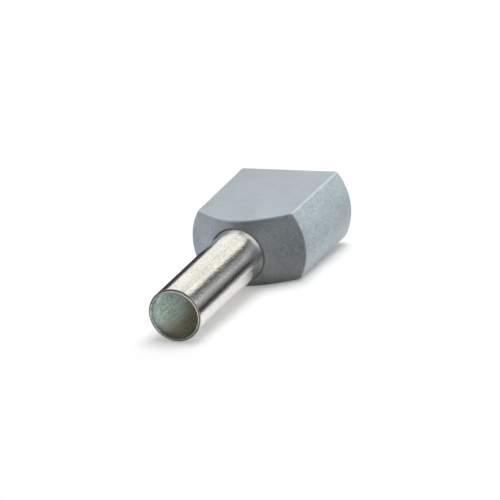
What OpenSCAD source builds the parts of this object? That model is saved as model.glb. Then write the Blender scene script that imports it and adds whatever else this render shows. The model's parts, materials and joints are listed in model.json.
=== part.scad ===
// Twin insulated wire ferrule: two stranded wires go into the collar side by side, and their
// bare ends are crimped together in the sleeve. The sleeve is a thin tinned copper tube, flared
// at its back end, which seats in the throat of a plastic collar. The collar is one body of
// revolution about the sleeve's axis, cut by two flats.
// Millimetres. The axis runs along Y, with the sleeve's tip towards -Y and the collar's mouth
// towards +Y. The origin is on the axis, in the plane of the collar's front land.

/* [Sleeve] */
// Inside diameter of the sleeve
sleeve_bore = 3.8; // [3:0.1:4.6]
// Wall of the sleeve
sleeve_wall = 0.2; // [0.16:0.01:0.3]
// Length of sleeve that stands out in front of the collar
sleeve_length = 12; // [6:0.5:25]
// Radius on both edges of the sleeve's tip
tip_round = 0.06; // [0.02:0.01:0.07]

/* [Flare] */
// How far in front of the collar the sleeve starts to flare
flare_lead = 0.8; // [0.4:0.05:1.5]
// How far the flare reaches into the collar
flare_depth = 0.6; // [0.4:0.05:1]
// How much the flare adds to the sleeve's radius
flare_rise = 0.22; // [0.1:0.01:0.3]
// Gap between the flare and its seat in the collar
seat_gap = 0.02; // [0.01:0.01:0.05]

/* [Collar] */
// Inside width of the mouth, across the round sides
mouth_width = 8.8; // [7:0.1:12]
// Length of the collar
collar_length = 11; // [7:0.5:16]
// Wall of the round sides and of the front cone
side_wall = 0.45; // [0.3:0.05:0.8]
// Wall of the flats at the mouth, where the draft leaves it thinnest
flat_wall = 0.25; // [0.2:0.05:0.6]
// How far the flats stay outside the throat, at the front of the hollow
flat_room = 0.01; // [0.01:0.01:0.5]
// Angle between the front cone and the axis, in degrees
cone_angle = 48; // [35:1:60]
// Radius where the cone runs into the round sides, outside and in the hollow
shoulder_round = 0.25; // [0.05:0.05:0.5]
// Width of the land round the sleeve, at the very front
front_land = 0.08; // [0.04:0.01:0.3]
// Draft of the round sides, in degrees
side_draft = 0.6; // [0:0.1:1.5]
// Draft of the flats inside the hollow, in degrees; their outside is level with the axis
flat_draft = 0.5; // [0:0.1:1]

/* [Mouth rim] */
// Size of the lead-in chamfer inside the mouth
lead_in = 0.12; // [0.05:0.01:0.14]
// Radius on the outside edge of the mouth
rim_round = 0.08; // [0.02:0.01:0.1]

/* [Hidden] */

$fn = 96;
arc_steps = 8; // segments in each rounded stretch of an outline
past = 0.2;    // how far a cut runs past the face that it opens
bite = 0.05;   // how far the throat's cut runs into the hollow behind it

// The flare's wall bends on one arc, which leaves the sleeve along its length
bore_r = sleeve_bore / 2;
sleeve_r = bore_r + sleeve_wall;
flare_run = flare_lead + flare_depth;
flare_bend = (flare_run^2 + flare_rise^2) / (2 * flare_rise);
flare_angle = asin(flare_run / flare_bend);
flare_pivot = [sleeve_r + flare_bend, -flare_lead];

// The seat bends about the same point, one gap further out than the flare
seat_bend = flare_bend - seat_gap;
seat_front_angle = asin(flare_lead / seat_bend);
seat_back_angle = asin(flare_run / seat_bend);
seat_front_r = flare_pivot.x - seat_bend * cos(seat_front_angle);
throat_r = flare_pivot.x - seat_bend * cos(seat_back_angle);

// Half width of the mouth across the round sides, and half height between the flats
mouth_round = mouth_width / 2;
mouth_flat = throat_r + flat_room + collar_length * tan(flat_draft);

// The same two distances to the outside of the collar at its mouth
outer_round = mouth_round + side_wall;
outer_flat = mouth_flat + flat_wall;

// Radius of the front cone in the origin's plane, outside and inside the wall
cone_base_r = seat_front_r + front_land;
cone_inner_r = cone_base_r - side_wall / cos(cone_angle);

// Where the throat runs out into the cone inside the collar
throat_end = max(flare_depth, (throat_r - cone_inner_r) / tan(cone_angle));

// Half width or half height of the collar at y, for a wall that is `mouth` from the axis at the rim
function drafted(mouth, draft, y) = mouth - (collar_length - y) * tan(draft);

// Where a cone that starts at base_r in the origin's plane meets the round sides
function cone_end(base_r, mouth) =
    (drafted(mouth, side_draft, 0) - base_r) / (tan(cone_angle) - tan(side_draft));

// Points along an arc about a centre
function arc(centre, r, from, to) = [
    for (i = [0 : arc_steps])
        let (a = from + (to - from) * i / arc_steps)
        centre + r * [cos(a), sin(a)]
];

// The rounded shoulder between that cone and the round sides
function shoulder(base_r, mouth) =
    let (
        y = cone_end(base_r, mouth),
        corner = [drafted(mouth, side_draft, y), y],
        cone_normal = [cos(cone_angle), -sin(cone_angle)],
        side_normal = [cos(side_draft), -sin(side_draft)],
        inward = (cone_normal + side_normal) / (1 + cone_normal * side_normal)
    )
    arc(corner - shoulder_round * inward, shoulder_round, -cone_angle, -side_draft);

// Outside edge of the mouth, for a wall that is `mouth` from the axis at the rim
function rim(mouth, draft) =
    arc([drafted(mouth, draft, collar_length - rim_round) - rim_round, collar_length - rim_round],
        rim_round, 0, 90);

// Inside edge of the mouth, for a wall that is `mouth` from the axis at the rim
function entry(mouth, draft) = [
    [drafted(mouth, draft, collar_length - lead_in), collar_length - lead_in],
    [mouth + lead_in + past, collar_length + past]
];

// Turns a shape built up along Z so that it lies along Y
module along_y() {
    rotate([-90, 0, 0]) children();
}

// Everything between two flats whose edge, on one side, has these points
module between_flats(edge) {
    far_side = [for (i = [len(edge) - 1 : -1 : 0]) [-edge[i].x, edge[i].y]];
    rotate([90, 0, 90])
        linear_extrude(height = 2 * mouth_width, center = true)
            polygon(concat(edge, far_side));
}

// Outside of the collar: a cone and round sides, turned about the axis, between the flats
module collar_outside() {
    intersection() {
        rotate_extrude()
            polygon(concat(
                [[0, 0], [cone_base_r, 0]],
                shoulder(cone_base_r, outer_round),
                rim(outer_round, side_draft),
                [[0, collar_length]]
            ));
        between_flats(concat(
            [[outer_flat, -past]],
            rim(outer_flat, 0),
            [[outer_flat - rim_round, collar_length + past]]
        ));
    }
}

// Hollow of the collar, which guides the strands from the mouth to the throat
module collar_hollow() {
    intersection() {
        rotate_extrude()
            polygon(concat(
                [[0, 0], [cone_inner_r, 0]],
                shoulder(cone_inner_r, mouth_round),
                entry(mouth_round, side_draft),
                [[0, collar_length + past]]
            ));
        between_flats(concat(
            [[drafted(mouth_flat, flat_draft, -past), -past]],
            entry(mouth_flat, flat_draft)
        ));
    }
}

// Hole through the front of the collar, shaped as the seat of the flare
module collar_throat() {
    rotate_extrude()
        polygon(concat(
            [[0, -past], [seat_front_r, -past]],
            arc(flare_pivot, seat_bend, 180 - seat_front_angle, 180 - seat_back_angle),
            [[throat_r, throat_end + bite], [0, throat_end + bite]]
        ));
}

module sleeve() {
    color("silver")
        along_y()
            rotate_extrude()
                polygon(concat(
                    arc([bore_r + tip_round, tip_round - sleeve_length], tip_round, 180, 270),
                    arc([sleeve_r - tip_round, tip_round - sleeve_length], tip_round, 270, 360),
                    arc(flare_pivot, flare_bend, 180, 180 - flare_angle),
                    arc(flare_pivot, flare_bend + sleeve_wall, 180 - flare_angle, 180)
                ));
}

module collar() {
    color("lightslategray")
        along_y()
            difference() {
                collar_outside();
                collar_hollow();
                collar_throat();
            }
}

sleeve();
collar();
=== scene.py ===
import bpy
import json
import math
from mathutils import Matrix, Vector


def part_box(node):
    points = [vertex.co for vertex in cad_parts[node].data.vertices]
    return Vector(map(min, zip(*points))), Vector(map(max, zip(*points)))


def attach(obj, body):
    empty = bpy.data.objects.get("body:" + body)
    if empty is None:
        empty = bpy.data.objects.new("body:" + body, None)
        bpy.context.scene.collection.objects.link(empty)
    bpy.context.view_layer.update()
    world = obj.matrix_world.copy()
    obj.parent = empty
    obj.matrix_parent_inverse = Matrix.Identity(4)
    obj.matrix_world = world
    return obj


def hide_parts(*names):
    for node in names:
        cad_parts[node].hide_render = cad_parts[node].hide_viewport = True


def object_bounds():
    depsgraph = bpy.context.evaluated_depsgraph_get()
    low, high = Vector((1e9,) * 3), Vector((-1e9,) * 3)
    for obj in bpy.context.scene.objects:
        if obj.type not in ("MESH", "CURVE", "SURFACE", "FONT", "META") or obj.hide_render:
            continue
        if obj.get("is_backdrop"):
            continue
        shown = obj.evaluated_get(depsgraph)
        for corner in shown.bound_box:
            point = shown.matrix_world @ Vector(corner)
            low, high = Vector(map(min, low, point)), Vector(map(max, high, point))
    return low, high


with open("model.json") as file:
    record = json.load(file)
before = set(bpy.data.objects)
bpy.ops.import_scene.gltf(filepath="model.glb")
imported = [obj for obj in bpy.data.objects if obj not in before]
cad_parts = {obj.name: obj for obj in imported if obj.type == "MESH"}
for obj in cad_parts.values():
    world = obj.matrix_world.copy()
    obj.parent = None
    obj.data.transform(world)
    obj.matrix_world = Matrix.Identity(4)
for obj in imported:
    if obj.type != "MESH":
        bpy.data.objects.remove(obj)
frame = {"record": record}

low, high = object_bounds()

mm = 0.001
mounts = {mount["name"]: mount for mount in frame["record"]["mounts"]}
boreRadius = mounts["sleeve_bore"]["dims"]["r_mm"]
tubeRadius = mounts["sleeve_pin"]["dims"]["r_mm"]
sleeveLow, sleeveHigh = [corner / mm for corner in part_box("sleeve")]
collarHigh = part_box("collar")[1] / mm
print("frame loaded: tube", 2 * tubeRadius, "mm across,", round(-sleeveLow.y, 3), "mm long")


class Link:  # one output of a node, so that sums on it read as plain arithmetic
    def __init__(self, sheet, socket):
        self.sheet = sheet
        self.socket = socket

    def maths(self, operation, first, second=0.0, third=0.0):
        return self.sheet.node(
            "ShaderNodeMath", {"operation": operation}, {0: first, 1: second, 2: third})

    def __add__(self, other):
        return self.maths("ADD", self, other)

    def __radd__(self, other):
        return self.maths("ADD", other, self)

    def __sub__(self, other):
        return self.maths("SUBTRACT", self, other)

    def __rsub__(self, other):
        return self.maths("SUBTRACT", other, self)

    def __mul__(self, other):
        return self.maths("MULTIPLY", self, other)

    def __rmul__(self, other):
        return self.maths("MULTIPLY", other, self)

    def __truediv__(self, other):
        return self.maths("DIVIDE", self, other)

    def __rtruediv__(self, other):
        return self.maths("DIVIDE", other, self)

    def __neg__(self):
        return self.maths("MULTIPLY", self, -1.0)

    def apply(self, operation, second=0.0, third=0.0):
        return self.maths(operation, self, second, third)

    def clamped(self):
        return self.apply("MAXIMUM", 0.0).apply("MINIMUM", 1.0)

    def output(self, name):
        return Link(self.sheet, self.socket.node.outputs[name])


class NodeSheet:  # a node tree and the one way that nodes are put on it
    def __init__(self, tree):
        self.tree = tree

    def node(self, kind, settings=None, inputs=None, output=0):
        made = self.tree.nodes.new(kind)
        for name, value in (settings or {}).items():
            if name == "choices":
                for extra in range(value - len(made.index_switch_items)):
                    made.index_switch_items.new()
            elif name == "captures":
                for label, form in value.items():
                    made.capture_items.new(form, label)
            else:
                setattr(made, name, value)
        for name, value in (inputs or {}).items():
            if isinstance(value, Link):
                self.tree.links.new(value.socket, made.inputs[name])
            else:
                made.inputs[name].default_value = value
        return Link(self, made.outputs[output] if made.outputs else None)

    def vector(self, x=0.0, y=0.0, z=0.0):
        return self.node("ShaderNodeCombineXYZ", None, {"X": x, "Y": y, "Z": z})

    def vectorMaths(self, operation, first, second):
        return self.node("ShaderNodeVectorMath", {"operation": operation}, {0: first, 1: second})

    def scaled(self, vector, factor):
        return self.node(
            "ShaderNodeVectorMath", {"operation": "SCALE"}, {0: vector, "Scale": factor})

    def smoothStep(self, value, start, end, first=0.0, last=1.0):
        return self.node("ShaderNodeMapRange", {"interpolation_type": "SMOOTHSTEP"}, {
            "Value": value, "From Min": start, "From Max": end, "To Min": first, "To Max": last})

    def mixColour(self, mask, first, second):
        return self.node("ShaderNodeMix", {"data_type": "RGBA"},
            {0: mask, 6: first, 7: second}, output=2)


def addObject(name, data):
    made = bpy.data.objects.new(name, data)
    bpy.context.scene.collection.objects.link(made)
    return made


# Geometry Nodes: an outline of rounded corners, turned about the Y axis, worked in millimetres

def newGeometrySheet(name, sizes):
    tree = bpy.data.node_groups.new(name, "GeometryNodeTree")
    for label, size in sizes.items():
        form = "NodeSocketInt" if isinstance(size, int) else "NodeSocketFloat"
        tree.interface.new_socket(label, in_out="INPUT", socket_type=form)
    tree.interface.new_socket("Material", in_out="INPUT", socket_type="NodeSocketMaterial")
    tree.interface.new_socket("Geometry", in_out="OUTPUT", socket_type="NodeSocketGeometry")
    sheet = NodeSheet(tree)
    first = sheet.node("NodeGroupInput")
    return sheet, {label: first.output(label) for label in list(sizes) + ["Material"]}


def pickByIndex(sheet, index, values):
    inputs = {place + 1: value for place, value in enumerate(values)}
    inputs[0] = index
    return sheet.node(
        "GeometryNodeIndexSwitch", {"data_type": "FLOAT", "choices": len(values)}, inputs)


# corners are (distance from the axis, place along it, height of the flat, rounding, and the
# spacing of the points between this corner and the next)
def roundedOutline(sheet, corners, roundingSteps):
    index = sheet.node("GeometryNodeInputIndex")
    line = sheet.node("GeometryNodeMeshLine", None, {"Count": len(corners)})
    radius, along, flat, rounding, spacing = [
        pickByIndex(sheet, index, column) for column in zip(*corners)]
    placed = sheet.node("GeometryNodeSetPosition", None, {
        "Geometry": line, "Position": sheet.vector(radius, along, flat)})
    held = sheet.node("GeometryNodeCaptureAttribute",
        {"captures": {"Rounding": "FLOAT", "Spacing": "FLOAT"}},
        {"Geometry": placed, 1: rounding, 2: spacing})
    curve = sheet.node("GeometryNodeMeshToCurve", None, {0: held})
    closed = sheet.node("GeometryNodeSetSplineCyclic", None, {"Geometry": curve, "Cyclic": True})
    rounded = sheet.node("GeometryNodeFilletCurve", {"mode": "POLY"}, {
        "Curve": closed, "Count": roundingSteps, "Radius": held.output("Rounding")})
    here = sheet.node("GeometryNodeInputPosition")
    following = sheet.node("GeometryNodeOffsetPointInCurve", None, {"Offset": 1})
    there = sheet.node("GeometryNodeFieldAtIndex", {"data_type": "FLOAT_VECTOR"}, {
        "Index": following.output("Point Index"), "Value": here})
    step = sheet.node("ShaderNodeVectorMath", {"operation": "DISTANCE"},
        {0: here, 1: there}, output="Value")
    cuts = (step / held.output("Spacing")).apply("FLOOR")
    return sheet.node("GeometryNodeSubdivideCurve", None, {"Curve": rounded, "Cuts": cuts})


# the outline's points and the share of a turn come back as fields on the skin, whose own shape
# only joins the points up, because finishSkin places each of them
def turnedSkin(sheet, outline, steps):
    ringRadius = 10.0
    place = sheet.node("GeometryNodeInputPosition")
    profile = sheet.node("GeometryNodeCaptureAttribute", {"captures": {"Outline": "VECTOR"}},
        {"Geometry": outline, 1: place})
    ring = sheet.node("GeometryNodeCurvePrimitiveCircle", {"mode": "RADIUS"},
        {"Resolution": steps, "Radius": ringRadius})
    share = sheet.node("GeometryNodeSplineParameter").output("Factor")
    path = sheet.node("GeometryNodeCaptureAttribute", {"captures": {"Turn": "FLOAT"}},
        {"Geometry": ring, 1: share})
    skin = sheet.node("GeometryNodeCurveToMesh", None, {"Curve": path, "Profile Curve": profile})
    point = sheet.node("ShaderNodeSeparateXYZ", None, {0: profile.output("Outline")})
    return skin, point, path.output("Turn")


def finishSkin(sheet, skin, x, y, z, material):
    place = sheet.scaled(sheet.vector(x, y, z), mm)
    placed = sheet.node("GeometryNodeSetPosition", None, {"Geometry": skin, "Position": place})
    smooth = sheet.node("GeometryNodeSetShadeSmooth", None, {"Geometry": placed})
    real = sheet.node("GeometryNodeRealizeInstances", None, {"Geometry": smooth})
    painted = sheet.node("GeometryNodeSetMaterial", None, {"Geometry": real, "Material": material})
    sheet.node("NodeGroupOutput", None, {"Geometry": painted})


def makePiece(name, sheet, sizes, material):
    piece = addObject(name, bpy.data.meshes.new(name))
    modifier = piece.modifiers.new(name, "NODES")
    modifier.node_group = sheet.tree
    values = dict(sizes)
    values["Material"] = material
    for socket in sheet.tree.interface.items_tree:
        if socket.in_out == "INPUT":
            modifier[socket.identifier] = values[socket.name]
    bpy.context.view_layer.update()
    graph = bpy.context.evaluated_depsgraph_get()
    mesh = bpy.data.meshes.new_from_object(piece.evaluated_get(graph))
    piece.modifiers.remove(modifier)
    piece.data = mesh
    mesh.name = name
    print(name, "made with", len(mesh.vertices), "points and", len(mesh.polygons), "faces")
    return piece


def newMaterial(name):
    material = bpy.data.materials.new(name)
    material.use_nodes = True
    material.node_tree.nodes.clear()
    return material, NodeSheet(material.node_tree)


def finishMaterial(sheet, shader):
    sheet.node("ShaderNodeOutputMaterial", None, {"Surface": shader})


def objectPlace(sheet):  # the point on the piece, in millimetres
    return sheet.scaled(sheet.node("ShaderNodeTexCoord").output("Object"), 1 / mm)


def cloud(sheet, place, scale, detail=2.0, roughness=0.5, seed=0.0):
    return sheet.node("ShaderNodeTexNoise", {"noise_dimensions": "4D"}, {
        "Vector": place, "W": seed, "Scale": scale, "Detail": detail, "Roughness": roughness})


def swing(noise, width):  # a cloud that goes to both sides of nothing
    return width * (noise - 0.5)


# Collar: soft grey plastic, a cone and two round sides between two flats

collarPlan = {
    "sizes": {  # millimetres and radians, and counts where they are whole
        "Front Radius": 2.271,
        "Seat Radius": 2.191,
        "Throat Radius": 2.341,
        "Throat Depth": 0.6,
        "Throat Room": 0.25,  # how far the flats stay clear of the throat
        "Round Side": collarHigh.x,
        "Flat Side": collarHigh.z,
        "Length": collarHigh.y,
        "Side Wall": 0.45,
        "Flat Wall": 0.25,
        "Cone Angle": math.radians(48),
        "Side Draft": math.radians(0.6),
        "Flat Draft": math.radians(0.5),
        "Lead In": 0.12,
        "Seat Rounding": 0.02,
        "Land Rounding": 0.03,
        "Shoulder Rounding": 0.22,
        "Rim Rounding": 0.08,
        "Mouth Rounding": 0.02,
        "Lead In Rounding": 0.1,
        "Hollow Rounding": 0.05,
        "Throat Rounding": 0.01,
        "Edge Rounding": 0.16,
        "Cone Spacing": 0.06,
        "Side Spacing": 0.5,
        "Hollow Spacing": 0.08,
        "Open Spacing": 1.0,  # longer than the sides that need no points of their own
        "Edge Gathering": 1.6,  # how closely the points gather at the edges of the flats
        "Flat Limit": 0.985,  # the most that a flat's height counts against the radius
        "Turn Steps": 240,
        "Rounding Steps": 6,
    },
    "look": {
        "base": (0.29, 0.315, 0.34, 1.0),
        "pale": (0.46, 0.50, 0.53, 1.0),
        # a paler colour for the edges, partly rubbed plastic and partly a painted highlight
        "worn": (0.60, 0.63, 0.65, 1.0),
        "meanTone": 0.5,
        "roughness": 0.42,
        "refraction": 1.49,
        "softness": 0.35,
        "softReach": 0.4,
        "grainSize": 9.5,  # grains to a millimetre
        "grainDepth": 0.02,
        "grainTone": 4.3,
        "grainRoughness": 0.3,
        "coneGrain": 0.6,  # how much of the grain's tone is on the cone
        "coneEnd": (1.4, 2.6),  # where along the axis its grain turns into the sides'
        "flatSmoothness": 0.88,
        "flatBand": (0.12, 0.02),  # how deep under the flat the grain starts and ends to fade
        "driftSize": 0.5,
        "driftTone": 0.8,
        "driftRoughness": 0.16,
        "swellSize": 1.1,
        "swellDepth": 2.0,  # against the grain's depth
        # the pale edges below are partly rubbed plastic and partly a painted highlight along the
        # edges
        "wear": 0.7,
        "wearWidth": 0.13,
        "wearCore": 0.2,  # the share of that width that is fully pale
        "wearEnd": 0.03,  # how near an edge the paleness is full
        "rimWear": 0.7,
        "rimWidth": 0.14,
        "leastWear": 0.6,
        "driftWear": 0.8,
    },
}


def makePlastic():
    size = collarPlan["sizes"]
    look = collarPlan["look"]
    material, sheet = newMaterial("greyPlastic")
    place = objectPlace(sheet)
    point = sheet.node("ShaderNodeSeparateXYZ", None, {0: place})
    x = point.output("X")
    y = point.output("Y")
    z = point.output("Z")
    height = z.apply("ABSOLUTE")
    flatSide = size["Flat Side"]
    # the grain is cut into the round sides, and the flats and the cone are smoother
    bandStart, bandEnd = look["flatBand"]
    flat = sheet.smoothStep(height, flatSide - bandStart, flatSide - bandEnd)
    cut = 1.0 - look["flatSmoothness"] * flat
    grained = sheet.smoothStep(y, *look["coneEnd"], look["coneGrain"], 1.0) * cut
    grain = cloud(sheet, place, look["grainSize"], detail=3.0, roughness=0.6, seed=3.0)
    drift = cloud(sheet, place, look["driftSize"], seed=11.0)
    tone = look["meanTone"] + swing(drift, look["driftTone"])
    tone = (tone + swing(grain, look["grainTone"]) * grained).clamped()
    colour = sheet.mixColour(tone, look["base"], look["pale"])
    # edges of the flats and of the mouth are painted a little paler, partly as rubbing and partly
    # as a painted highlight along the edges
    cone = size["Front Radius"] + math.tan(size["Cone Angle"]) * y
    side = size["Round Side"] - math.tan(size["Side Draft"]) * (size["Length"] - y)
    depth = cone.apply("MINIMUM", side) - (x * x + z * z).apply("SQRT")
    width = look["wearWidth"]
    outside = sheet.smoothStep(depth, width, look["wearCore"] * width)
    edge = outside * sheet.smoothStep(height, flatSide - width, flatSide - look["wearEnd"])
    rim = sheet.smoothStep(
        y, size["Length"] - look["rimWidth"], size["Length"] - look["wearEnd"])
    patchy = look["leastWear"] + look["driftWear"] * drift
    rubbedAndHighlit = look["wear"] * edge.apply("MAXIMUM", look["rimWear"] * rim) * patchy
    colour = sheet.mixColour(rubbedAndHighlit, colour, look["worn"])
    swell = cloud(sheet, place, look["swellSize"], detail=1.0, seed=5.0)
    bump = sheet.node("ShaderNodeBump", None, {
        "Strength": 1.0, "Distance": look["grainDepth"] * mm,
        "Height": grain * cut + look["swellDepth"] * swell})
    roughness = look["roughness"] + swing(drift, look["driftRoughness"])
    shader = sheet.node("ShaderNodeBsdfPrincipled", None, {
        "Base Color": colour,
        "Roughness": roughness + swing(grain, look["grainRoughness"]) * grained,
        "IOR": look["refraction"],
        "Subsurface Weight": look["softness"],
        "Subsurface Radius": (look["softReach"] * mm,) * 3,
        "Subsurface Scale": 1.0,
        "Normal": bump,
    })
    finishMaterial(sheet, shader)
    return material


def makeCollarSheet():
    sheet, size = newGeometrySheet("collarShape", collarPlan["sizes"])
    roundSide = size["Round Side"]
    flatSide = size["Flat Side"]
    length = size["Length"]
    leadIn = size["Lead In"]
    throat = size["Throat Radius"]
    sideSlope = size["Side Draft"].apply("TANGENT")
    flatSlope = size["Flat Draft"].apply("TANGENT")
    coneSlope = size["Cone Angle"].apply("TANGENT")
    innerRound = roundSide - size["Side Wall"]
    innerFlat = flatSide - size["Flat Wall"]
    coneFoot = size["Front Radius"] - size["Side Wall"] / size["Cone Angle"].apply("COSINE")
    shoulder = (roundSide - length * sideSlope - size["Front Radius"]) / (coneSlope - sideSlope)
    innerShoulder = (innerRound - length * sideSlope - coneFoot) / (coneSlope - sideSlope)
    throatEnd = (throat - coneFoot) / coneSlope
    openFlat = throat + size["Throat Room"]  # no flat cuts the throat
    flatEnd = (openFlat - coneFoot) / coneSlope
    corners = [
        (size["Seat Radius"], 0.0, flatSide,
            size["Seat Rounding"], size["Open Spacing"]),
        (size["Front Radius"], 0.0, flatSide,
            size["Land Rounding"], size["Cone Spacing"]),
        (roundSide - (length - shoulder) * sideSlope, shoulder, flatSide,
            size["Shoulder Rounding"], size["Side Spacing"]),
        (roundSide, length, flatSide,
            size["Rim Rounding"], size["Open Spacing"]),
        (innerRound + leadIn, length, innerFlat + leadIn,
            size["Mouth Rounding"], size["Open Spacing"]),
        (innerRound - leadIn * sideSlope, length - leadIn, innerFlat - leadIn * flatSlope,
            size["Lead In Rounding"], size["Side Spacing"]),
        (innerRound - (length - innerShoulder) * sideSlope, innerShoulder,
            innerFlat - (length - innerShoulder) * flatSlope,
            size["Shoulder Rounding"], size["Hollow Spacing"]),
        (openFlat, flatEnd, innerFlat - (length - flatEnd) * flatSlope,
            size["Hollow Rounding"], size["Hollow Spacing"]),
        (throat, throatEnd, openFlat,
            size["Throat Rounding"], size["Open Spacing"]),
        (throat, size["Throat Depth"], openFlat,
            size["Throat Rounding"], size["Open Spacing"]),
    ]
    outline = roundedOutline(sheet, corners, size["Rounding Steps"])
    skin, point, turn = turnedSkin(sheet, outline, size["Turn Steps"])
    radius = point.output("X")
    along = point.output("Y")
    flat = point.output("Z")
    quarter = math.pi / 2
    # the points of each quarter turn close up towards the edge of the flat
    span = (turn * 4.0).apply("PINGPONG", 1.0) * 2.0 - 1.0
    closing = span.apply("ABSOLUTE").apply("POWER", size["Edge Gathering"])
    edge = (flat / radius).apply("MINIMUM", size["Flat Limit"]).apply("ARCSINE")
    angle = edge + closing * (quarter - edge - quarter * span.apply("LESS_THAN", 0.0))
    acrossSign = (turn * math.tau).apply("COSINE").apply("SIGN")
    heightSign = (turn * math.tau).apply("SINE").apply("SIGN")
    across = radius * angle.apply("COSINE") * acrossSign
    tall = (radius * angle.apply("SINE")).apply("SMOOTH_MIN", flat, size["Edge Rounding"])
    finishSkin(sheet, skin, across, along, tall * heightSign, size["Material"])
    return sheet


collar = makePiece("collarShell", makeCollarSheet(), collarPlan["sizes"], makePlastic())
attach(collar, "root")
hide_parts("collar")


# Sleeve: drawn copper tube, tinned, with its end bent out into the flare

sleevePlan = {
    "sizes": {  # millimetres, and counts where they are whole
        "Bore Radius": boreRadius,
        "Tube Radius": tubeRadius,
        "Length": -sleeveLow.y,
        "Flare Radius": sleeveHigh.x,
        "Flare Lead": 0.8,
        "Flare Depth": 0.6,
        "Tip Rounding": 0.06,
        "Flare Rounding": 0.02,
        "Wall Spacing": 0.25,
        "Open Spacing": 1.0,
        "Unevenness": 0.003,
        "Wave Size": 0.9,  # waves to a millimetre, round the tube
        "Wave Stretch": 0.4,  # waves along the tube for each one round it
        "Even Length": 1.0,  # stays even in front of the collar
        "Turn Steps": 192,
        "Rounding Steps": 6,
    },
    "look": {
        "bright": (0.90, 0.885, 0.85, 1.0),
        "dull": (0.60, 0.60, 0.58, 1.0),
        "meanTone": 0.55,
        "roughness": 0.09,
        "dullRoughness": 0.16,
        "streaks": (9.0, 0.35, 9.0),  # streaks to a millimetre, across and along the tube
        "streakTone": 0.7,
        "streakDepth": 0.25,  # against the patches' depth
        "patchSize": 5.0,  # patches to a millimetre
        "patchTone": 1.1,
        "patchDepth": 0.012,
        "speckSize": 8.0,
        "speckTone": 2.0,
        "speckDepth": 0.45,
        "driftSize": 0.45,
        "driftTone": 0.8,
        # the bore is painted light and green on one side and dark on the other, as painted light
        # and shade
        "boreSide": (0.51, 0.70, 0.635, 1.0),
        "boreFloor": (0.20, 0.165, 0.09, 1.0),
        "boreSoil": (0.145, 0.13, 0.105, 1.0),
        "boreMetal": 0.4,
        "boreRoughness": 0.2,
        "boreBand": (0.1, 0.03),  # how far outside the bore its finish starts and is full
        "boreLean": math.radians(131),  # the side of the bore that is painted lighter and greener, as painted light; the far side is painted dark, as painted shade
        "leanBand": (-0.55, 0.4),  # where across the bore the painted light starts and is full
        "patchLean": 1.6,
        "driftLean": 1.2,
        "soil": 0.95,
        "soilBand": (0.57, 0.43),  # which specks start to be soiled and are fully so
        # the tip's outer rounding is painted near black: partly the bare cut copper, partly a
        # painted dark reflection
        "cutEdge": (0.07, 0.07, 0.065, 1.0),
        "cutRoughness": 0.3,
        "cutLength": (0.15, 0.09),  # how far from the tip the dark edge starts and is full
        "cutWidth": (0.13, 0.10),  # how far inside the tube's outside it starts and is full
    },
}


def makeTin():
    look = sleevePlan["look"]
    material, sheet = newMaterial("tinnedCopper")
    place = objectPlace(sheet)
    point = sheet.node("ShaderNodeSeparateXYZ", None, {0: place})
    x = point.output("X")
    z = point.output("Z")
    radius = (x * x + z * z).apply("SQRT")
    inside = sheet.smoothStep(radius, *[boreRadius + gap for gap in look["boreBand"]])
    drawn = sheet.vectorMaths("MULTIPLY", place, look["streaks"])
    streaks = cloud(sheet, drawn, 1.0, detail=3.0, roughness=0.6, seed=2.0)
    patches = cloud(sheet, place, look["patchSize"], detail=3.0, roughness=0.65, seed=7.0)
    drift = cloud(sheet, place, look["driftSize"], seed=4.0)
    specks = cloud(sheet, place, look["speckSize"], roughness=0.6, seed=9.0)
    tone = look["meanTone"] + swing(patches, look["patchTone"])
    tone = tone + swing(streaks, look["streakTone"]) + swing(drift, look["driftTone"])
    tone = (tone + swing(specks, look["speckTone"])).clamped()
    outer = sheet.mixColour(tone, look["dull"], look["bright"])
    # one side of the bore is painted lighter and greener and the other darker, as painted light
    # and shade across the bore
    leaning = x * math.cos(look["boreLean"]) + z * math.sin(look["boreLean"])
    blotch = swing(patches, look["patchLean"]) + swing(drift, look["driftLean"])
    lean = sheet.smoothStep(leaning / boreRadius + blotch, *look["leanBand"])
    inner = sheet.mixColour(lean, look["boreFloor"], look["boreSide"])
    soiled = look["soil"] * sheet.smoothStep(specks, *look["soilBand"])
    inner = sheet.mixColour(soiled, inner, look["boreSoil"])
    colour = sheet.mixColour(inside, outer, inner)
    # the tip's outer rounding is painted dark, partly as bare cut copper and partly as a painted
    # dark reflection
    cut = sheet.smoothStep(point.output("Y"), *[sleeveLow.y + gap for gap in look["cutLength"]])
    cut = cut * sheet.smoothStep(radius, *[tubeRadius - gap for gap in look["cutWidth"]])
    colour = sheet.mixColour(cut, colour, look["cutEdge"])
    relief = patches + look["streakDepth"] * streaks + look["speckDepth"] * specks
    bump = sheet.node("ShaderNodeBump", None, {
        "Strength": 1.0, "Distance": look["patchDepth"] * mm, "Height": relief})
    roughness = look["roughness"] + look["dullRoughness"] * (0.5 - tone)
    roughness = roughness + look["boreRoughness"] * inside + look["cutRoughness"] * cut
    shader = sheet.node("ShaderNodeBsdfPrincipled", None, {
        "Base Color": colour,
        "Metallic": 1.0 - (1.0 - look["boreMetal"]) * inside - cut,
        "Roughness": roughness,
        "Normal": bump,
    })
    finishMaterial(sheet, shader)
    return material


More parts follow.
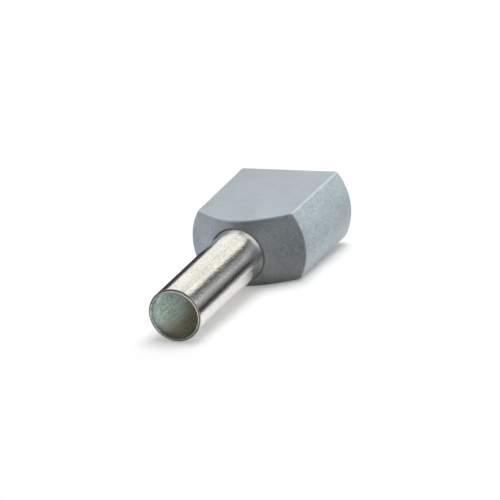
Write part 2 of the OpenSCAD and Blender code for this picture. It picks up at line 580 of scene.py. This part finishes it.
def makeSleeveSheet():
    sheet, size = newGeometrySheet("sleeveShape", sleevePlan["sizes"])
    bore = size["Bore Radius"]
    tube = size["Tube Radius"]
    lead = size["Flare Lead"]
    run = lead + size["Flare Depth"]
    rise = size["Flare Radius"] - tube
    bend = (run * run + rise * rise) / (2.0 * rise)
    flareEnd = bend * (run / bend).apply("ARCSINE") - lead
    tip = -size["Length"]
    corners = [
        (bore, tip, 0.0, size["Tip Rounding"], size["Open Spacing"]),
        (tube, tip, 0.0, size["Tip Rounding"], size["Wall Spacing"]),
        (tube, flareEnd, 0.0, size["Flare Rounding"], size["Open Spacing"]),
        (bore, flareEnd, 0.0, size["Flare Rounding"], size["Wall Spacing"]),
    ]
    outline = roundedOutline(sheet, corners, size["Rounding Steps"])
    skin, point, turn = turnedSkin(sheet, outline, size["Turn Steps"])
    along = point.output("Y")
    # past the lead the wall bends about one point outside the tube
    bent = (along + lead).apply("MAXIMUM", 0.0) / bend
    reach = tube + bend - point.output("X")
    flared = tube + bend - reach * bent.apply("COSINE")
    pulled = along.apply("MINIMUM", -lead) + reach * bent.apply("SINE")
    around = turn * math.tau
    cosine = around.apply("COSINE")
    sine = around.apply("SINE")
    seat = sheet.vector(flared * cosine, pulled * size["Wave Stretch"], flared * sine)
    wave = swing(cloud(sheet, seat, size["Wave Size"], seed=6.0), 2.0 * size["Unevenness"])
    wavy = flared + wave * along.apply("LESS_THAN", -size["Even Length"])
    finishSkin(sheet, skin, wavy * cosine, pulled, wavy * sine, size["Material"])
    return sheet


sleeve = makePiece("sleeveTube", makeSleeveSheet(), sleevePlan["sizes"], makeTin())
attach(sleeve, "root")
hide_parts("sleeve")


# Studio: the floor lies under the tip of the tube and the front edge of the lower flat

studio = {  # floor sizes in millimetres
    "floorReach": 3000.0,
    "floorGap": 0.002,
    "floorTurn": 6.0,  # how soon the floor turns level beyond the object
    "floorStep": 1.5,
    "floorSteps": 40,
    "frontRun": 1.0,
    "backRun": 9.0,
    "frontLevel": -2.8,
    "floorColour": (0.84, 0.84, 0.84, 1.0),
    "floorGlow": 0.295,
    "floorBounce": (0.47, 0.425, 0.405, 1.0),  # the colour that the floor throws on the object
    "roomColour": (1.0, 1.0, 1.0, 1.0),
    "frontLight": 0.02,  # what the room gives from the front, and from behind the object
    "backLight": 0.68,
    "lightBand": (-0.15, 0.65),  # where the one turns into the other, from front to back
}

lamps = {  # way towards the lamp, distance and width in metres, strength, colour
    "topLamp": ((-0.25, 0.65, 0.8), 0.7, 0.3, 0.54, (0.93, 1.0, 1.04)),
    "leftLamp": ((-0.98, -0.03, 0.12), 0.8, 0.3, 1.27, (0.95, 1.0, 1.05)),
    "sideLamp": ((0.8, 0.5, 0.25), 0.8, 0.5, 1.17, (0.89, 1.0, 1.0)),
    "floorLamp": ((0.12, 0.15, 1.0), 0.8, 0.6, 0.76, (1.0, 1.0, 1.0)),
}

boreSpot = {
    "place": (0.005, -0.0217, 0.0013),
    "aim": (0.0003, -0.012, 0.0001),
    "spread": math.radians(21),
    "fading": 0.6,
    "radius": 0.0003,
    "power": 0.0185,
}

# cards that only reflections show: a corner and two edges in metres, then the light at the start
# and at the end of the second edge
cards = {
    "creamCard": ((-0.125, 0.17, 0.04), (0.0, 0.0, 0.09), (0.189, 0.0, 0.0),
        (1.1, 1.08, 1.0), (1.1, 1.08, 1.0)),
    "upperFlag": ((0.064, 0.168, -0.012), (0.0, 0.0, 0.142), (0.056, 0.0, 0.0),
        (0.01, 0.01, 0.01), (0.4, 0.4, 0.4)),
    "rightFlag": ((0.0055, -0.06, -0.0008), (0.0, 0.12, 0.0), (0.0, 0.0, 0.0027),
        (0.04, 0.04, 0.04), (0.5, 0.51, 0.51)),
    "lowFlag": ((0.0055, -0.06, -0.0034), (0.0, 0.12, 0.0), (0.0, 0.0, 0.0026),
        (0.6, 0.6, 0.6), (0.04, 0.04, 0.04)),
    "leftFlag": ((-0.0055, -0.06, -0.0034), (0.0, 0.12, 0.0), (0.0, 0.0, 0.0075),
        (0.015, 0.015, 0.015), (0.07, 0.07, 0.07)),
    "overFlag": ((-0.05, -0.4, 0.25), (0.0, 0.8, 0.0), (0.1, 0.0, 0.0),
        (0.45, 0.45, 0.45), (0.6, 0.6, 0.6)),
}


# a height that goes on from a slope and settles at a level
def settled(start, slope, level, run):
    turn = studio["floorTurn"]
    lean = slope + (start - level) / turn
    return level + (start - level + lean * run) * math.exp(-run / turn)


def seenDirectly(sheet):
    path = sheet.node("ShaderNodeLightPath")
    mirrored = path.output("Is Glossy Ray").apply("MAXIMUM", path.output("Is Transmission Ray"))
    return path.output("Is Camera Ray").apply("MAXIMUM", mirrored)


def makeFloorMesh():
    size = collarPlan["sizes"]
    edgeAlong = (collarHigh.z - size["Front Radius"]) / math.tan(size["Cone Angle"])
    tipAlong = sleeveLow.y + sleevePlan["sizes"]["Tip Rounding"]
    slope = (tubeRadius - collarHigh.z) / (edgeAlong - tipAlong)
    front = tipAlong - studio["frontRun"]
    back = collarHigh.y + studio["backRun"]
    frontHeight, backHeight = [
        -tubeRadius - studio["floorGap"] + slope * (along - tipAlong) for along in (front, back)]
    backLevel = backHeight + slope * studio["floorTurn"]
    reach = studio["floorReach"]
    runs = [studio["floorStep"] * step for step in range(studio["floorSteps"])] + [reach]
    rows = [(front - run, settled(frontHeight, -slope, studio["frontLevel"], run)) for run in runs]
    rows = rows[::-1] + [(back + run, settled(backHeight, slope, backLevel, run)) for run in runs]
    points = [Vector((x, along, height)) * mm for along, height in rows for x in (-reach, reach)]
    faces = [(row, row + 1, row + 3, row + 2) for row in range(0, 2 * len(rows) - 2, 2)]
    mesh = bpy.data.meshes.new("floor")
    mesh.from_pydata(points, [], faces)
    mesh.shade_smooth()
    return mesh


def makeFloor():
    floor = addObject("floor", makeFloorMesh())
    material, sheet = newMaterial("studioFloor")
    seen = seenDirectly(sheet)
    colour = sheet.mixColour(seen, studio["floorBounce"], studio["floorColour"])
    matt = sheet.node("ShaderNodeBsdfDiffuse", None, {"Color": colour})
    glow = sheet.node("ShaderNodeEmission", None, {"Strength": studio["floorGlow"] * seen})
    finishMaterial(sheet, sheet.node("ShaderNodeAddShader", None, {0: matt, 1: glow}))
    floor.data.materials.append(material)
    floor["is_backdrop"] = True
    return floor


def makeWorld():
    world = bpy.data.worlds.new("whiteRoom")
    bpy.context.scene.world = world
    world.use_nodes = True
    world.node_tree.nodes.clear()
    sheet = NodeSheet(world.node_tree)
    seen = seenDirectly(sheet)
    way = sheet.node("ShaderNodeTexCoord").output("Generated")
    behind = sheet.node("ShaderNodeSeparateXYZ", None, {0: way}).output("Y")
    light = sheet.smoothStep(
        behind, *studio["lightBand"], studio["frontLight"], studio["backLight"])
    glow = sheet.node("ShaderNodeBackground", None, {
        "Color": studio["roomColour"], "Strength": light + (1.0 - light) * seen})
    sheet.node("ShaderNodeOutputWorld", None, {"Surface": glow})


def makeGroup(name, members):
    group = bpy.data.collections.new(name)
    for member in members:
        group.objects.link(member)
    return group


def turnAway(lamp, way):  # a lamp shines away from the direction that it is turned to
    lamp.rotation_mode = "QUATERNION"
    lamp.rotation_quaternion = way.to_track_quat("Z", "Y")


def makeLamps(floor):
    pieces = makeGroup("litPieces", [collar, sleeve])
    ground = makeGroup("litGround", [floor])
    for name, (way, distance, width, strength, colour) in lamps.items():
        light = bpy.data.lights.new(name, "AREA")
        light.shape = "SQUARE"
        light.size = width
        light.color = colour
        # at a strength of 1, a white face that is turned to the lamp comes out white
        light.energy = strength * math.pi * math.pi * distance * distance
        lamp = addObject(name, light)
        direction = Vector(way).normalized()
        lamp.location = direction * distance
        turnAway(lamp, direction)
        lamp.visible_glossy = False
        # the floor has a lamp of its own, nearly overhead, so that the shadow stays close
        lamp.light_linking.receiver_collection = ground if name == "floorLamp" else pieces


def makeBoreSpot():
    light = bpy.data.lights.new("boreSpot", "SPOT")
    light.energy = boreSpot["power"]
    light.spot_size = boreSpot["spread"]
    light.spot_blend = boreSpot["fading"]
    light.shadow_soft_size = boreSpot["radius"]
    spot = addObject("boreSpot", light)
    spot.location = boreSpot["place"]
    turnAway(spot, Vector(boreSpot["place"]) - Vector(boreSpot["aim"]))
    spot.visible_camera = False
    spot.visible_glossy = False


def makeCards():
    for name, (corner, firstEdge, lastEdge, startLight, endLight) in cards.items():
        corner, firstEdge, lastEdge = [Vector(values) for values in (corner, firstEdge, lastEdge)]
        points = [corner, corner + firstEdge, corner + firstEdge + lastEdge, corner + lastEdge]
        mesh = bpy.data.meshes.new(name)
        mesh.from_pydata(points, [], [(0, 1, 2, 3)])
        material, sheet = newMaterial(name)
        place = sheet.node("ShaderNodeTexCoord").output("Object")
        way = lastEdge.normalized()
        along = sheet.vectorMaths("DOT_PRODUCT", place, tuple(way)).output("Value")
        start = corner.dot(way)
        share = sheet.smoothStep(along, start, start + lastEdge.length)
        colour = sheet.mixColour(share, (*startLight, 1.0), (*endLight, 1.0))
        finishMaterial(sheet, sheet.node("ShaderNodeEmission", None, {"Color": colour}))
        mesh.materials.append(material)
        card = addObject(name, mesh)
        card.visible_camera = False
        card.visible_diffuse = False
        card.visible_shadow = False
        card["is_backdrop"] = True


floor = makeFloor()
makeWorld()
makeLamps(floor)
makeCards()
makeBoreSpot()
print("studio ready with", len(lamps), "lamps and", len(cards), "cards")


# Camera: a long lens from the front right, a little rolled

cameraView = {
    "azimuth": 26.1,
    "elevation": 20.92,
    "roll": -7.53,
    "distance": 0.6,
    "lens": 567.2,
    "sensor": 36.0,
    "nearest": 0.01,
    "farthest": 20.0,
    "aim": (0.84, 1.03, 0.27),  # millimetres from the middle of the object
}


def makeCamera():
    azimuth, elevation, roll = [
        math.radians(cameraView[name]) for name in ("azimuth", "elevation", "roll")]
    outward = Vector((math.sin(azimuth) * math.cos(elevation),
        -math.cos(azimuth) * math.cos(elevation), math.sin(elevation)))
    level = Vector((math.cos(azimuth), math.sin(azimuth), 0.0))
    upright = outward.cross(level)
    right = level * math.cos(roll) + upright * math.sin(roll)
    up = upright * math.cos(roll) - level * math.sin(roll)
    aim = (low + high) / 2 + Vector(cameraView["aim"]) * mm
    data = bpy.data.cameras.new("camera")
    data.lens = cameraView["lens"]
    data.sensor_width = cameraView["sensor"]
    data.clip_start = cameraView["nearest"]
    data.clip_end = cameraView["farthest"]
    camera = addObject("camera", data)
    turn = Matrix((right, up, outward)).transposed().to_4x4()
    camera.matrix_world = Matrix.Translation(aim + outward * cameraView["distance"]) @ turn
    bpy.context.scene.camera = camera


makeCamera()
bpy.context.scene.view_settings.view_transform = "Standard"
print("camera set")

low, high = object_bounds()
